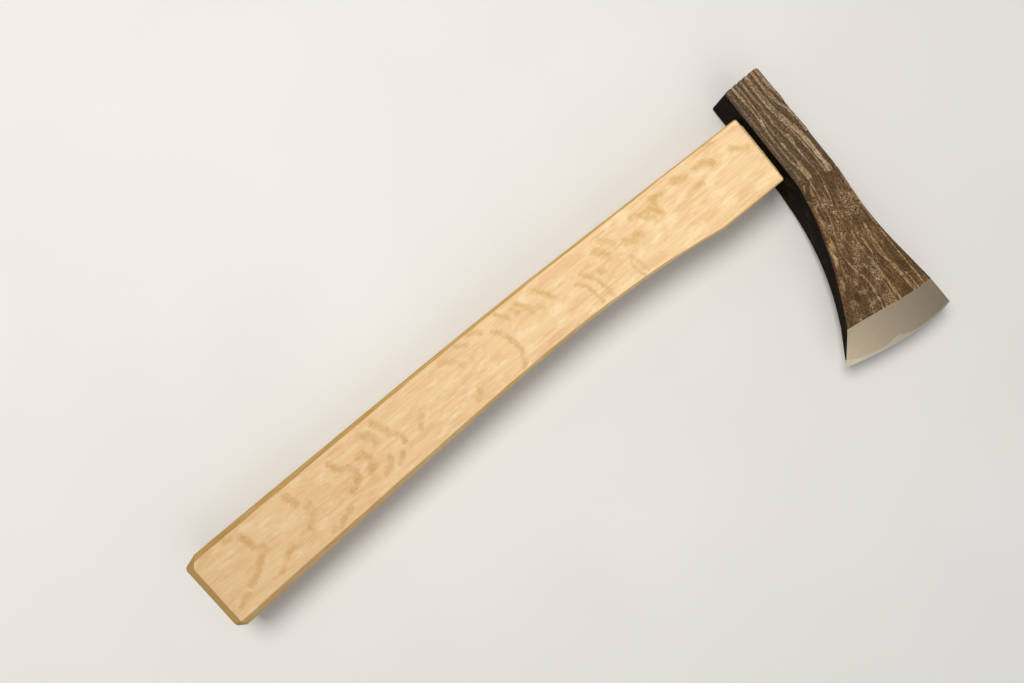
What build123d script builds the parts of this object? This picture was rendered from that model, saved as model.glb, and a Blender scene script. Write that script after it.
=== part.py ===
from build123d import *
import os
from math import cos, radians, sin

os.makedirs("parts", exist_ok=True)

# Carving hatchet lying on its cheek, in millimetres.
# Origin: centre of the eye, on the plane of the lower cheek.
# +X runs along the handle to the butt, +Y to the cutting edge, +Z up through the head.

# ---- driving dimensions ---------------------------------------------------------------
head_thickness = 28.0
mid_height = head_thickness / 2

poll_y = -33.4  # flat end of the head, opposite the edge
top_x = -10.8  # side of the head that faces away from the handle
underside_x = 10.6  # side of the head that faces the handle
poll_corner_radius = 1.4
cheek_bend_y = 27.0  # where the cheeks start to thin towards the edge

eye_length = 33.0  # along Y
eye_width = 11.0  # along Z
eye_corner_radius = 2.5

core_thickness = 1.6  # hard steel layer at the edge
core_back_y = 76.0  # how far the layer reaches up into the blade

shoulder_x = 13.4  # handle shoulder, just clear of the head
shoulder_ease = 0.8
tang_end_x = -12.4  # tang end, a little proud of the head
butt_x = 368.7
butt_tilt = 3.2  # degrees; the end is cut a little longer on the poll side
shoulder_thickness = 24.6
butt_thickness = 27.0
butt_chamfer_inset = 2.6  # across the end face
butt_chamfer_angle = 30.0  # from the handle's length
butt_cutter_depth = 10.0
handle_blank_x = 374.0  # the handle is drawn this long before its end is cut

wedge_depth = 20.0
wedge_mouth = 4.2  # thickness of the wooden wedge at the tang end
wedge_tip = 0.8
steel_wedge_depth = 13.0
steel_wedge_mouth = 2.4
steel_wedge_tip = 0.5
steel_wedge_width = 8.0
steel_wedge_spacing = 17.0

# Plan of the blade, as (x, y).
waist = (11.1, 26)
bevel_heel = (33.7, 98.9)
heel = (45.4, 114.9)
toe = (-17.4, 122.1)
edge_curve = [toe, (-4.5, 123.6), (14.6, 122.0), (33.3, 118.3), heel]
toe_side = [(-10.5, 50), (-11.4, 69), (-14.0, 90)]
heel_side = [(24.6, 80), (16.2, 55.4)]

# Half thickness of the thinned cheeks, as (y, half thickness), from beyond the edge backwards.
cheek_curve = [(130, 2.4), (104, 3.8), (75, 6.5), (46, 10.9)]

# The bevel is ruled between two curves, at these heights above the middle of the head.
# Both lie beyond the bevel itself, so that the surface cuts the blade all the way through.
bevel_back_height = 7.7
bevel_back_points = [(-21.5, 91.8), (-3.8, 83.1), (13, 83.3), (30.3, 86.4)]
bevel_front_height = -0.3
bevel_front_points = [
    (-32, 118.4),
    (-17.6, 123.6),
    (-4.6, 125.5),
    (14.8, 124.0),
    (46.5, 116.5),
    (62, 110.8),
]

# The handle in plan at each station: x, edge on the poll side, edge on the blade side, and
# the width of the flats planed on its four long corners.
shoulder_block = [
    (shoulder_x, -20.0, 19.1, 0.7),
    (52, -20.9, 19.5, 0.9),
]
grip = [
    (52, -20.9, 19.5, 0.9),
    (66, -21.2, 17.4, 1.0),
    (84, -21.6, 15.3, 1.2),
    (110, -22.2, 13.5, 1.4),
    (145, -22.9, 12.6, 1.6),
    (200, -23.1, 14.1, 1.9),
    (260, -22.7, 17.2, 2.4),
    (320, -22.2, 20.3, 3.0),
    (handle_blank_x, -21.5, 23.2, 3.2),
]

cutter_reach = 80
corner_cutter_depth = 10

mid_plane = Plane.XY.offset(mid_height)
# Sections across the object: local x runs along Y, local y is the height above mid_plane.
section_plane = Plane(origin=(0, 0, mid_height), x_dir=(0, 1, 0), z_dir=(1, 0, 0))


def half_thickness(x):
    """Half the handle's thickness, which grows evenly from the shoulder to the butt."""
    share = (x - shoulder_x) / (handle_blank_x - shoulder_x)
    return (shoulder_thickness + share * (butt_thickness - shoulder_thickness)) / 2


def corner_cutter(stations, side):
    """Wedge that planes the flat on one upper long corner: side -1 is the poll's, 1 the blade's."""
    inner = []
    outer = []
    for x, poll_edge, blade_edge, flat in stations:
        edge_y = poll_edge if side < 0 else blade_edge
        top_z = mid_height + half_thickness(x)
        inner.append((x, edge_y - 2 * side * flat, top_z + flat))
        outer.append((x, edge_y + side * flat, top_z - 2 * flat))
    surface = Face.make_surface_from_curves(Spline(*inner).edge(), Spline(*outer).edge())
    return extrude(surface, amount=corner_cutter_depth, dir=(0, side, 1), mode=Mode.PRIVATE)


# ---- head blank: forged outline, thinned cheeks and both bevels -------------------------
bevel_back = [(x, y, mid_height + bevel_back_height) for x, y in bevel_back_points]
bevel_front = [(x, y, mid_height + bevel_front_height) for x, y in bevel_front_points]
upper_bevel = Face.make_surface_from_curves(Spline(*bevel_back).edge(), Spline(*bevel_front).edge())
lower_bevel = upper_bevel.mirror(mid_plane)

with BuildPart() as head_blank:
    with BuildSketch(mid_plane):
        with BuildLine():
            Polyline((underside_x, poll_y), (top_x, poll_y), (top_x, cheek_bend_y))
            Spline((top_x, cheek_bend_y), *toe_side, toe, tangents=[(0, 1), (-0.1, 1)])
            Spline(*edge_curve)
            Line(heel, bevel_heel)
            Spline(bevel_heel, *heel_side, waist, tangents=[(-0.5, -1), (-0.1, -1)])
            Line(waist, (underside_x, poll_y))
        make_face()
    extrude(amount=mid_height, both=True)
    with BuildSketch(section_plane):
        with BuildLine():
            Spline(*cheek_curve, (cheek_bend_y, mid_height))
            Polyline((cheek_bend_y, mid_height), (poll_y, mid_height), (poll_y, 0))
            Polyline((poll_y, 0), (cheek_curve[0][0], 0), cheek_curve[0])
        make_face()
        mirror(about=Plane.XZ)
    extrude(amount=cutter_reach, both=True, mode=Mode.INTERSECT)
    extrude(upper_bevel, amount=cutter_reach, dir=(0, 0, 1), mode=Mode.SUBTRACT)
    extrude(lower_bevel, amount=cutter_reach, dir=(0, 0, -1), mode=Mode.SUBTRACT)
    poll_corners = head_blank.edges().filter_by(Axis.Z).group_by(Axis.Y)[0]
    fillet(poll_corners, radius=poll_corner_radius)

# ---- hard steel layer: welded between the two cheeks and ground to the cutting edge ------
with BuildPart() as core_slab:
    with BuildSketch(mid_plane):
        with Locations((0, core_back_y)):
            Rectangle(2 * cutter_reach, cutter_reach, align=(Align.CENTER, Align.MIN))
    extrude(amount=core_thickness / 2, both=True)

with BuildPart() as edge_steel:
    add(head_blank.part)
    add(core_slab.part, mode=Mode.INTERSECT)
edge_steel.part.label = "edge_steel"
export_step(edge_steel.part, "parts/edge_steel.step")

# ---- head body: soft layered iron with the eye for the handle ---------------------------
with BuildPart() as head_body:
    add(head_blank.part)
    add(core_slab.part, mode=Mode.SUBTRACT)
    with BuildSketch(section_plane):
        RectangleRounded(eye_length, eye_width, eye_corner_radius)
    extrude(amount=cutter_reach, both=True, mode=Mode.SUBTRACT)
head_body.part.label = "head_body"
export_step(head_body.part, "parts/head_body.step")

# ---- steel wedges: driven across the tang, along +X from its end ------------------------
with BuildPart() as steel_wedges:
    with BuildSketch(mid_plane):
        with Locations([(tang_end_x, side * steel_wedge_spacing / 2) for side in (-1, 1)]):
            Polygon(
                (0, -steel_wedge_mouth / 2),
                (steel_wedge_depth, -steel_wedge_tip / 2),
                (steel_wedge_depth, steel_wedge_tip / 2),
                (0, steel_wedge_mouth / 2),
                align=None,
            )
    extrude(amount=steel_wedge_width / 2, both=True)
steel_wedges.part.label = "steel_wedges"
export_step(steel_wedges.part, "parts/steel_wedges.step")

# ---- wooden wedge: fills the saw cut along the tang, notched by the steel wedges ---------
with BuildPart() as wedge_blank:
    with BuildSketch(Plane.XZ):
        with Locations((tang_end_x, mid_height)):
            Polygon(
                (0, -wedge_mouth / 2),
                (wedge_depth, -wedge_tip / 2),
                (wedge_depth, wedge_tip / 2),
                (0, wedge_mouth / 2),
                align=None,
            )
    extrude(amount=eye_length / 2, both=True)

with BuildPart() as wooden_wedge:
    add(wedge_blank.part)
    add(steel_wedges.part, mode=Mode.SUBTRACT)
wooden_wedge.part.label = "wooden_wedge"
export_step(wooden_wedge.part, "parts/wooden_wedge.step")

# ---- handle: grip, square shoulder and the tang through the eye --------------------------
corner_cutters = []
for stations in (shoulder_block, grip):
    for side in (-1, 1):
        upper_cutter = corner_cutter(stations, side)
        corner_cutters += [upper_cutter, upper_cutter.mirror(mid_plane)]

tilt = radians(butt_tilt)
butt_plane = Plane(
    origin=(butt_x, 0, mid_height),
    x_dir=(-sin(tilt), cos(tilt), 0),
    z_dir=(cos(tilt), sin(tilt), 0),
)
_, butt_poll_edge, butt_blade_edge, butt_flat = grip[-1]
with BuildPart() as butt_cutter:
    with BuildSketch(butt_plane):
        Rectangle(cutter_reach, cutter_reach)
    extrude(amount=butt_cutter_depth, both=True)
    with BuildSketch(butt_plane) as butt_end:
        with Locations(((butt_poll_edge + butt_blade_edge) / 2, 0)):
            Rectangle(butt_blade_edge - butt_poll_edge, butt_thickness)
        chamfer(butt_end.vertices(), length=butt_flat)
        offset(amount=-butt_chamfer_inset, kind=Kind.INTERSECTION)
    extrude(amount=-butt_cutter_depth, taper=-butt_chamfer_angle, mode=Mode.SUBTRACT)

with BuildPart() as handle:
    with BuildSketch(mid_plane):
        with BuildLine():
            Spline(*[(x, poll_edge) for x, poll_edge, _, _ in shoulder_block[:1] + grip])
            Line((handle_blank_x, grip[-1][1]), (handle_blank_x, grip[-1][2]))
            Spline(*[(x, blade_edge) for x, _, blade_edge, _ in grip])
            Line((grip[0][0], grip[0][2]), (shoulder_x, shoulder_block[0][2]))
            Line((shoulder_x, shoulder_block[0][2]), (shoulder_x, shoulder_block[0][1]))
        make_face()
    extrude(amount=mid_height, both=True)
    with BuildSketch(Plane.XZ):
        Polygon(
            (shoulder_x, mid_height - shoulder_thickness / 2),
            (handle_blank_x, mid_height - butt_thickness / 2),
            (handle_blank_x, mid_height + butt_thickness / 2),
            (shoulder_x, mid_height + shoulder_thickness / 2),
            align=None,
        )
    extrude(amount=cutter_reach, both=True, mode=Mode.INTERSECT)
    add(corner_cutters, mode=Mode.SUBTRACT)
    add(butt_cutter.part, mode=Mode.SUBTRACT)
    chamfer(handle.faces().sort_by(Axis.X)[0].edges(), length=shoulder_ease)
    with BuildSketch(section_plane.offset(tang_end_x)):
        RectangleRounded(eye_length, eye_width, eye_corner_radius)
    extrude(amount=shoulder_x - tang_end_x)
    add(wedge_blank.part, mode=Mode.SUBTRACT)
    add(steel_wedges.part, mode=Mode.SUBTRACT)
handle.part.label = "handle"
export_step(handle.part, "parts/handle.step")
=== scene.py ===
import math

import bmesh
import bpy
import numpy as np
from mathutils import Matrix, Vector
from mathutils.bvhtree import BVHTree


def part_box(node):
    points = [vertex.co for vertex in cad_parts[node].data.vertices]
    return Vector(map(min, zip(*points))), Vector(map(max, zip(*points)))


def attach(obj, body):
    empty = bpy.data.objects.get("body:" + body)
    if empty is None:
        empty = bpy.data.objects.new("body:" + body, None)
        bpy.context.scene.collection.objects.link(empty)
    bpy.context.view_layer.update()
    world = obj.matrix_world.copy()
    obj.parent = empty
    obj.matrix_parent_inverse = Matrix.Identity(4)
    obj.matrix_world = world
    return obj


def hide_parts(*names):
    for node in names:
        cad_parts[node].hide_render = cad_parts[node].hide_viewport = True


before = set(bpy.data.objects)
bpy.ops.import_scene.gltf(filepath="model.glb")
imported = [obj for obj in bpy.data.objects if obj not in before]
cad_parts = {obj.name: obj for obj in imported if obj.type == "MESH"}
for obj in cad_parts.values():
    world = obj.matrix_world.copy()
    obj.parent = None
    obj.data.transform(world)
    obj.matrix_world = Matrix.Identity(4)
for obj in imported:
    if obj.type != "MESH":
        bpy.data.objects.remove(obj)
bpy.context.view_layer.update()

# Carving hatchet lying on its cheek. Lengths are in millimetres until a mesh is made.
# Across a cheek, s runs from 0 at the side away from the handle to 1 at the handle's side.
# Along a cheek, t runs from 0 at the poll to 1 at the bevel. On the bevel, v runs from 0 at
# its upper border to 1 at the cutting edge.

MM = 0.001
HEAD_LOW, HEAD_HIGH = (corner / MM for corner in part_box("head_body"))
EDGE_LOW, EDGE_HIGH = (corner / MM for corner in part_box("edge_steel"))
HANDLE_LOW, HANDLE_HIGH = (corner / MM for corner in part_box("handle"))
WEDGE_LOW, WEDGE_HIGH = (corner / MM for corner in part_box("wooden_wedge"))
STEEL_LOW, STEEL_HIGH = (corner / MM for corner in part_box("steel_wedges"))
MID = (HEAD_LOW.z + HEAD_HIGH.z) / 2
POLL_Y = HEAD_LOW.y

# ---- sizes of the head -----------------------------------------------------------------
BEND_Y = 26.0  # the outline is straight up to here
EYE_CLEAR = 10.0  # height above the middle that clears the eye
EYE_BLOCK = (POLL_Y + 1.9, 23.0)  # the eye's mouth is meshed in rings between these y
RIM_STEPS = np.array([0.0, 0.08, 0.2, 0.38, 0.6])  # distances of the first rows from a rim
RIM_RADIUS = 0.6
BEVEL_RIM_RADIUS = 0.12
CHEEK_ROWS = 265
BEVEL_ROWS = 34
COLUMNS = 82
WALL_STEPS = 12  # from a cheek to the hard steel layer
LAYER_STEPS = 2  # across the hard steel layer
STRIP_ROWS = 12
EDGE_HALF = 0.03  # half thickness of the ground edge
SLOT_GAP = 0.01
GROOVE_DEPTH = 0.62
FAR_GROOVE_DEPTH = 0.17  # by the bevel, where the relief fades
FIBRE_RELIEF = 0.13  # share of the relief in fine fibres, and in blotches
BLOTCH_RELIEF = 0.1
KNOT_SINK = 0.6
BEVEL_FROM_Y = 80.0  # the bevel's upper border lies beyond this
CREASE_ANGLE = math.radians(4)  # a sharper fold than this is the border
EYE_LIP = 0.35  # how far the eye's mouth is rounded over
DENT_DEPTH = 0.09  # on the narrow sides: broad dents, then fine ones
FINE_DENT_DEPTH = 0.05
POLL_DENT_DEPTH = 0.12
BEVEL_T = 0.12  # how far t runs on beyond 1 down the bevel

# Ridges left standing between the etched grooves: half width, height and centre line (t, s).
RIDGES = [
    (0.9, 0.85, [(0.0, 0.07), (0.05, 0.08), (0.09, 0.06), (0.12, 0.03), (0.16, 0.01)]),
    (0.8, 0.85, [(0.0, 0.2), (0.06, 0.21), (0.12, 0.19), (0.15, 0.16), (0.18, 0.09), (0.24, 0.04),
        (0.3, 0.03)]),
    (1.25, 1.0, [(0.0, 0.385), (0.1, 0.375), (0.15, 0.36), (0.2, 0.31), (0.25, 0.24), (0.28, 0.22)]),
    (1.5, 0.78, [(0.25, 0.23), (0.3, 0.2), (0.4, 0.19), (0.47, 0.2)]),
    (0.45, 1.0, [(0.18, 0.39), (0.22, 0.35), (0.26, 0.31), (0.3, 0.295), (0.36, 0.29), (0.46, 0.29)]),
    (0.36, 0.9, [(0.24, 0.19), (0.3, 0.15), (0.38, 0.14), (0.44, 0.15)]),
    (0.55, 1.0, [(0.0, 0.53), (0.05, 0.54), (0.12, 0.52), (0.18, 0.54), (0.24, 0.52), (0.32, 0.49),
        (0.4, 0.48)]),
    (0.4, 0.9, [(0.38, 0.485), (0.46, 0.455), (0.52, 0.5), (0.57, 0.53)]),
    (0.9, 0.85, [(0.18, 0.53), (0.2, 0.54), (0.22, 0.54)]),
    (0.9, 0.85, [(0.255, 0.46), (0.28, 0.45), (0.31, 0.47)]),
    (0.42, 1.0, [(0.0, 0.68), (0.05, 0.655), (0.1, 0.665), (0.16, 0.68), (0.2, 0.7), (0.25, 0.7)]),
    (0.9, 0.85, [(0.0, 0.78), (0.04, 0.775), (0.08, 0.76)]),
    (0.55, 1.0, [(0.07, 0.76), (0.14, 0.75), (0.18, 0.78), (0.27, 0.795), (0.34, 0.785), (0.39, 0.74),
        (0.44, 0.71)]),
    (0.4, 0.85, [(0.42, 0.715), (0.5, 0.72), (0.56, 0.73), (0.62, 0.72)]),
    (0.8, 0.85, [(0.155, 0.7), (0.175, 0.75), (0.2, 0.77)]),
    (0.55, 0.8, [(0.27, 0.68), (0.35, 0.665), (0.41, 0.64), (0.45, 0.63)]),
    (1.0, 0.9, [(0.46, 0.72), (0.48, 0.765), (0.51, 0.83)]),
    (0.9, 0.85, [(0.37, 0.665), (0.42, 0.665), (0.455, 0.66)]),
    (0.3, 0.9, [(0.455, 0.88), (0.475, 0.92), (0.495, 0.97)]),
    (1.3, 0.5, [(0.0, 0.91), (0.2, 0.9), (0.45, 0.9)]),
    (0.4, 0.9, [(0.45, 0.03), (0.7, 0.035), (0.85, 0.065), (1.0, 0.085)]),
    (0.8, 0.95, [(0.69, 0.22), (0.78, 0.24), (0.86, 0.235), (0.92, 0.215), (1.0, 0.2)]),
    (0.6, 0.9, [(0.68, 0.28), (0.75, 0.285), (0.82, 0.27), (0.87, 0.245)]),
    (0.35, 0.95, [(0.92, 0.165), (1.0, 0.155)]),
    (0.5, 0.9, [(0.7, 0.48), (0.78, 0.47), (0.84, 0.43), (0.9, 0.4), (1.0, 0.37)]),
    (0.35, 0.9, [(0.92, 0.44), (1.0, 0.425)]),
    (0.4, 0.75, [(0.72, 0.38), (0.82, 0.37)]),
    (1.7, 0.52, [(0.5, 0.95), (0.6, 0.92), (0.7, 0.925), (0.8, 0.94), (0.9, 0.96)]),
    (0.45, 0.9, [(0.6, 0.72), (0.65, 0.755), (0.7, 0.8), (0.75, 0.8), (0.8, 0.755), (0.85, 0.67),
        (0.9, 0.6)]),
    (0.45, 0.85, [(0.89, 0.61), (0.95, 0.575), (1.0, 0.57)]),
]
# Knots in the grain: t, s, half length and half width.
KNOTS = [(0.505, 0.935, 2.2, 0.9), (0.923, 0.8, 2.2, 1.2)]
# How far the hard steel shows above the edge, as (s, width).
STRIP_WIDTH = [
    (0.0, 1.0), (0.3, 1.0), (0.42, 1.6), (0.48, 2.9), (0.53, 3.6), (0.58, 2.6), (0.63, 1.7),
    (0.74, 1.7), (0.87, 2.1), (1.0, 3.8),
]

# ---- sizes of the handle ---------------------------------------------------------------
SHOULDER_X = 13.4
CORNER_FLAT = 2 - math.sqrt(2)  # flat that stands for a rounded corner of radius 1
HANDLE_STEP = 0.82
TANG_STEP = 1.0
ARRIS = 0.3
EYE_CORNER = 2.5
TANG_CORNER = 2.8  # a little rounder than the eye, so that the wood stays clear of it
TANG_GAP = 0.05
SHOULDER_EASE = 0.8
BUTT_INSET = 2.6
BUTT_TAPER = 4.5
BUTT_CORNER = 3.2  # how much further the chamfer reaches at the corner on the poll's side
BUTT_CORNER_REACH = 18.0  # how far from the butt that, and the butt's slant, begin
BUTT_SLANT_REACH = 24.0
PLANE_HOLLOW = 0.07  # left by the plane, and its finer chatter
PLANE_CHATTER = 0.02
FACE_FROM = 6.0  # flecks lie on what is further than this above or below the middle
FLECK_SHIFT = 12.0  # of the pattern on the lower face, which is turned end for end
FLECK_SPREAD = 1.5  # a fleck fades out at this many times its width
GRIP_HALF_WIDTH = 19.0  # typical, for the direction in which a point of a section lies
GRIP_HALF_HEIGHT = 13.0
PROBE = 5.0  # how far outside a corner the ray starts that measures its flat
BUTT_PROBE = 10.0  # y on both sides of the middle at which the butt's end is measured
TANG_END = 0.3  # the tang's last stretch, over which its end is eased by the next number
TANG_END_EASE = 0.25
SEAM_X = 54  # here the straight block below the head runs into the grip's curve
SECTION_STATIONS = [15, 25, 38, 50, SEAM_X, 60, 66, 75, 84, 97, 110, 127, 145]
SECTION_STATIONS += [172, 200, 230, 260, 290, 320, 345, 363]
BROAD_POINTS = 54  # on each broad face of a section
NARROW_POINTS = 24
FLAT_POINTS = 4
ARC_POINTS = 4
# Ray flecks on the upper face: width and centre line (x, y). The lower face has them turned.
FLECKS = [
    (1.9, [(18.5, -5.5), (21, -6.5), (25, -9.5)]),
    (2.2, [(36.5, -9.5), (38, -12), (41, -13), (45, -13.5)]),
    (1.3, [(30.5, -18), (34, -19.5)]),
    (2.4, [(52, -13), (54, -14.5), (57, -15.5)]),
    (2.0, [(47, -5.5), (49.5, -5.5)]),
    (2.2, [(65, -14), (68, -14.5), (72, -15), (72, -12.5)]),
    (2.2, [(72.5, -7), (74, -11), (75.5, -12.5)]),
    (1.8, [(76.5, -7), (77, -11), (79, -13)]),
    (1.7, [(78.5, -9), (80.5, -11), (82.5, -14), (86, -14.5)]),
    (2.6, [(87, -5), (88.5, -6)]),
    (1.9, [(90.5, -3), (93, -5.5), (95.5, -7.5)]),
    (2.3, [(101, -10.5), (102.5, -13), (105, -15.5)]),
    (2.8, [(106.5, -7), (108, -11), (110.5, -13)]),
    (1.4, [(95, 10.5), (96, 5), (97.5, 0.5)]),
    (1.1, [(98, 12), (99.5, 7), (99, 3)]),
    (1.5, [(116.5, 10), (117, 3), (118, -1), (120, -4), (122.5, -8)]),
    (1.8, [(112.5, -2.5), (114.5, -3)]),
    (1.4, [(122.5, 9), (123.5, 2), (124, -2), (126, -4.5), (128, -6)]),
    (1.8, [(139, -6), (141, -8), (142, -11), (144, -14), (146.5, -17)]),
    (1.9, [(147.5, -7), (149, -9.5)]),
    (1.9, [(153, -9), (154, -12), (156, -15), (157.5, -17)]),
    (1.5, [(159, -13), (161, -17)]),
    (1.5, [(164.5, -14), (167, -17), (168.5, -20)]),
    (1.6, [(173.5, 10), (171, 7), (169.5, 2), (169.5, -3), (171, -8), (173, -12), (175, -14)]),
    (1.7, [(180, -17), (182, -19), (185, -20.5)]),
    (1.7, [(189.5, -17), (192, -19), (194, -20)]),
    (2.2, [(197, -10), (199, -13), (202, -16), (205, -18)]),
    (2.4, [(199, 6), (200.5, 7.5)]),
    (1.5, [(228, -3), (231, -2.5), (233, 1)]),
    (1.8, [(243, 1), (243, -3), (245, -5), (247, -6.5)]),
    (2.3, [(247.5, -9), (248.5, -13), (251, -16.5)]),
    (2.8, [(254.5, -8), (256, -12), (259, -15.5)]),
    (1.9, [(248, 5), (250, 7.5), (252, 8)]),
    (1.9, [(254, 2), (255, 4), (257, 6.5), (260, 7.5)]),
    (2.3, [(266, 2.5), (263, 1), (262, -3), (264, -7), (267, -7)]),
    (2.1, [(279.5, 4), (276, 3), (272.5, 0), (271.5, -4), (274, -7), (278, -9), (280.5, -14)]),
    (1.8, [(285.5, 10), (288, 11.5), (292, 12), (295.5, 14)]),
    (1.9, [(297, 13), (299, 13)]),
    (2.3, [(300, -5.5), (302.5, -5)]),
    (2.3, [(300.5, -1), (302.5, -1)]),
    (1.9, [(304, 2.5), (307, 4.5)]),
    (2.4, [(305, -8), (306, -12), (307.5, -15)]),
    (1.9, [(319.5, 7), (321.5, 7), (325, 9)]),
    (1.5, [(329.5, 12), (332, 13)]),
    (2.4, [(331, -2), (333, -3)]),
    (2.3, [(335, -7), (336, -11), (337, -14)]),
    (2.4, [(342, -16), (345, -17.5)]),
    (2.2, [(334.5, 0.5), (337, 1.5), (338, 3)]),
    (1.9, [(340, 5), (344, 6.5), (348, 8.5)]),
    (1.5, [(352, 11), (355, 12), (359, 14)]),
]


# ---- numbers ---------------------------------------------------------------------------
def smoothstep(low, high, value):
    share = np.clip((value - low) / (high - low), 0.0, 1.0)
    return share * share * (3 - 2 * share)


def cubic(stations, values, query):
    """Natural cubic spline through the stations, straight beyond its ends."""
    x = np.asarray(stations, float)
    y = np.asarray(values, float)
    step = np.diff(x)
    slope = np.diff(y) / step
    system = np.eye(len(x))
    right = np.zeros(len(x))
    for i in range(1, len(x) - 1):
        system[i, i - 1 : i + 2] = (step[i - 1], 2 * (step[i - 1] + step[i]), step[i])
        right[i] = 6 * (slope[i] - slope[i - 1])
    bend = np.linalg.solve(system, right)
    q = np.clip(query, x[0], x[-1])
    i = np.clip(np.searchsorted(x, q) - 1, 0, len(x) - 2)
    a = q - x[i]
    b = x[i + 1] - q
    h = step[i]
    inside = (bend[i] * b**3 + bend[i + 1] * a**3) / (6 * h)
    inside += (y[i] / h - bend[i] * h / 6) * b + (y[i + 1] / h - bend[i + 1] * h / 6) * a
    first = slope[0] - step[0] * bend[1] / 6
    last = slope[-1] + step[-1] * bend[-2] / 6
    return inside + np.minimum(query - x[0], 0) * first + np.maximum(query - x[-1], 0) * last


def value_noise(x, y, seed):
    """Smooth noise from -1 to 1 with cells one unit wide."""
    table = np.random.default_rng(seed).uniform(-1, 1, (256, 256))
    x, y = np.broadcast_arrays(x, y)
    column = np.floor(x).astype(int)
    row = np.floor(y).astype(int)
    fx = smoothstep(0, 1, x - column)
    fy = smoothstep(0, 1, y - row)
    c0, c1 = column % 256, (column + 1) % 256
    r0, r1 = row % 256, (row + 1) % 256
    near = table[c0, r0] * (1 - fx) + table[c1, r0] * fx
    far = table[c0, r1] * (1 - fx) + table[c1, r1] * fx
    return near * (1 - fy) + far * fy


def fractal(x, y, seed, octaves=3):
    total = 0.0
    for k in range(octaves):
        total = total + value_noise(x * 2**k + 17.3 * k, y * 2**k + 5.1 * k, seed + k) / 2**k
    return total / (2 - 2.0 ** (1 - octaves))


# ---- meshes ----------------------------------------------------------------------------
class Shell:
    """Sheets of points that are joined along their equal borders into one closed mesh."""

    def __init__(self):
        self.points = []
        self.quads = []
        self.kinds = []
        self.values = []
        self.count = 0

    def sheet(self, points, kind=0, **values):
        rows, columns = points.shape[:2]
        index = self.count + np.arange(rows * columns).reshape(rows, columns)
        corners = (index[:-1, :-1], index[1:, :-1], index[1:, 1:], index[:-1, 1:])
        quads = np.stack(corners, -1).reshape(-1, 4)
        self.points.append(points.reshape(-1, 3))
        self.quads.append(quads)
        self.kinds.append(np.full(len(quads), kind))
        flat = {key: np.broadcast_to(value, (rows, columns)).ravel() for key, value in values.items()}
        self.values.append(flat)
        self.count += rows * columns

    def tube(self, points, kind=0, **values):
        """Sheet whose last column is joined to its first."""
        grids = [np.concatenate([grid, grid[:, :1]], axis=1) for grid in (points, *values.values())]
        self.sheet(grids[0], kind, **dict(zip(values, grids[1:])))

    def make(self, name, materials, sharp_degrees=40):
        points = np.concatenate(self.points)
        _, first, joined = np.unique(np.round(points, 4), axis=0, return_index=True, return_inverse=True)
        quads = joined.ravel()[np.concatenate(self.quads)].tolist()
        faces = []
        kinds = []
        for quad, kind in zip(quads, np.concatenate(self.kinds).tolist()):
            face = [corner for i, corner in enumerate(quad) if corner != quad[i - 1]]
            if len(face) > 2 and len(set(face)) == len(face):
                faces.append(face)
                kinds.append(kind)
        mesh = bpy.data.meshes.new(name)
        mesh.from_pydata((points[first] * MM).tolist(), [], faces)
        mesh.polygons.foreach_set("material_index", kinds)
        for key in sorted({key for values in self.values for key in values}):
            parts = [values.get(key, np.zeros(len(p))) for values, p in zip(self.values, self.points)]
            layer = mesh.attributes.new(key, "FLOAT", "POINT")
            layer.data.foreach_set("value", np.concatenate(parts)[first].astype(np.float32))
        return finish_object(name, mesh, materials, sharp_degrees)


def new_object(name, data):
    """New object in the scene."""
    made = bpy.data.objects.new(name, data)
    bpy.context.scene.collection.objects.link(made)
    return made


def finish_object(name, mesh, materials, sharp_degrees):
    """Outward faces, smooth shading with sharp corners kept, and materials."""
    work = bmesh.new()
    work.from_mesh(mesh)
    bmesh.ops.recalc_face_normals(work, faces=work.faces)
    work.to_mesh(mesh)
    work.free()
    mesh.shade_smooth()
    mesh.set_sharp_from_angle(angle=math.radians(sharp_degrees))
    for material in materials:
        mesh.materials.append(material)
    return new_object(name, mesh)


def stack(x, y, z):
    return np.stack(np.broadcast_arrays(x, y, z), -1).astype(float)


def end_fade(share, rate):
    """0 at both ends of a stretch from 0 to 1, rising at this rate to 1 between them."""
    return np.clip(np.minimum(share, 1 - share) * rate, 0, 1)


def between(start, end, shares):
    """Sheet of points from one line of points to another, at these shares of the way."""
    shares = np.atleast_2d(shares)[..., None]
    return start[:, None, :] * (1 - shares) + end[:, None, :] * shares


# ---- what the CAD says -----------------------------------------------------------------
def read_tree(*names):
    points = []
    faces = []
    for name in names:
        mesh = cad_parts[name].data
        base = len(points)
        points += [vertex.co / MM for vertex in mesh.vertices]
        faces += [[base + i for i in face.vertices] for face in mesh.polygons]
    return BVHTree.FromPolygons(points, faces)


def cast(tree, origin, direction):
    return tree.ray_cast(Vector(origin), Vector(direction))[0]


HEAD_TREE = read_tree("head_body", "edge_steel")
HANDLE_TREE = read_tree("handle")
FAR = 200.0
EYE_HALF_LENGTH = (WEDGE_HIGH.y - WEDGE_LOW.y) / 2
EYE_HALF_WIDTH = cast(HEAD_TREE, (0, 0, MID), (0, 0, 1)).z - MID


def crease_points():
    """Points of the border between the upper cheek and the upper bevel."""
    work = bmesh.new()
    work.from_mesh(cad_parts["head_body"].data)
    bmesh.ops.remove_doubles(work, verts=work.verts, dist=1e-6)
    found = set()
    for edge in work.edges:
        low = min(vertex.co.z for vertex in edge.verts) / MM
        near = min(vertex.co.y for vertex in edge.verts) / MM
        if len(edge.link_faces) != 2 or low < MID + 2 or near < BEVEL_FROM_Y:
            continue
        one, other = (face.normal for face in edge.link_faces)
        if min(one.z, other.z) > 0.5 and one.angle(other) > CREASE_ANGLE:
            found.update((vertex.co.x / MM, vertex.co.y / MM) for vertex in edge.verts)
    work.free()
    return np.array(sorted(found))


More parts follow.
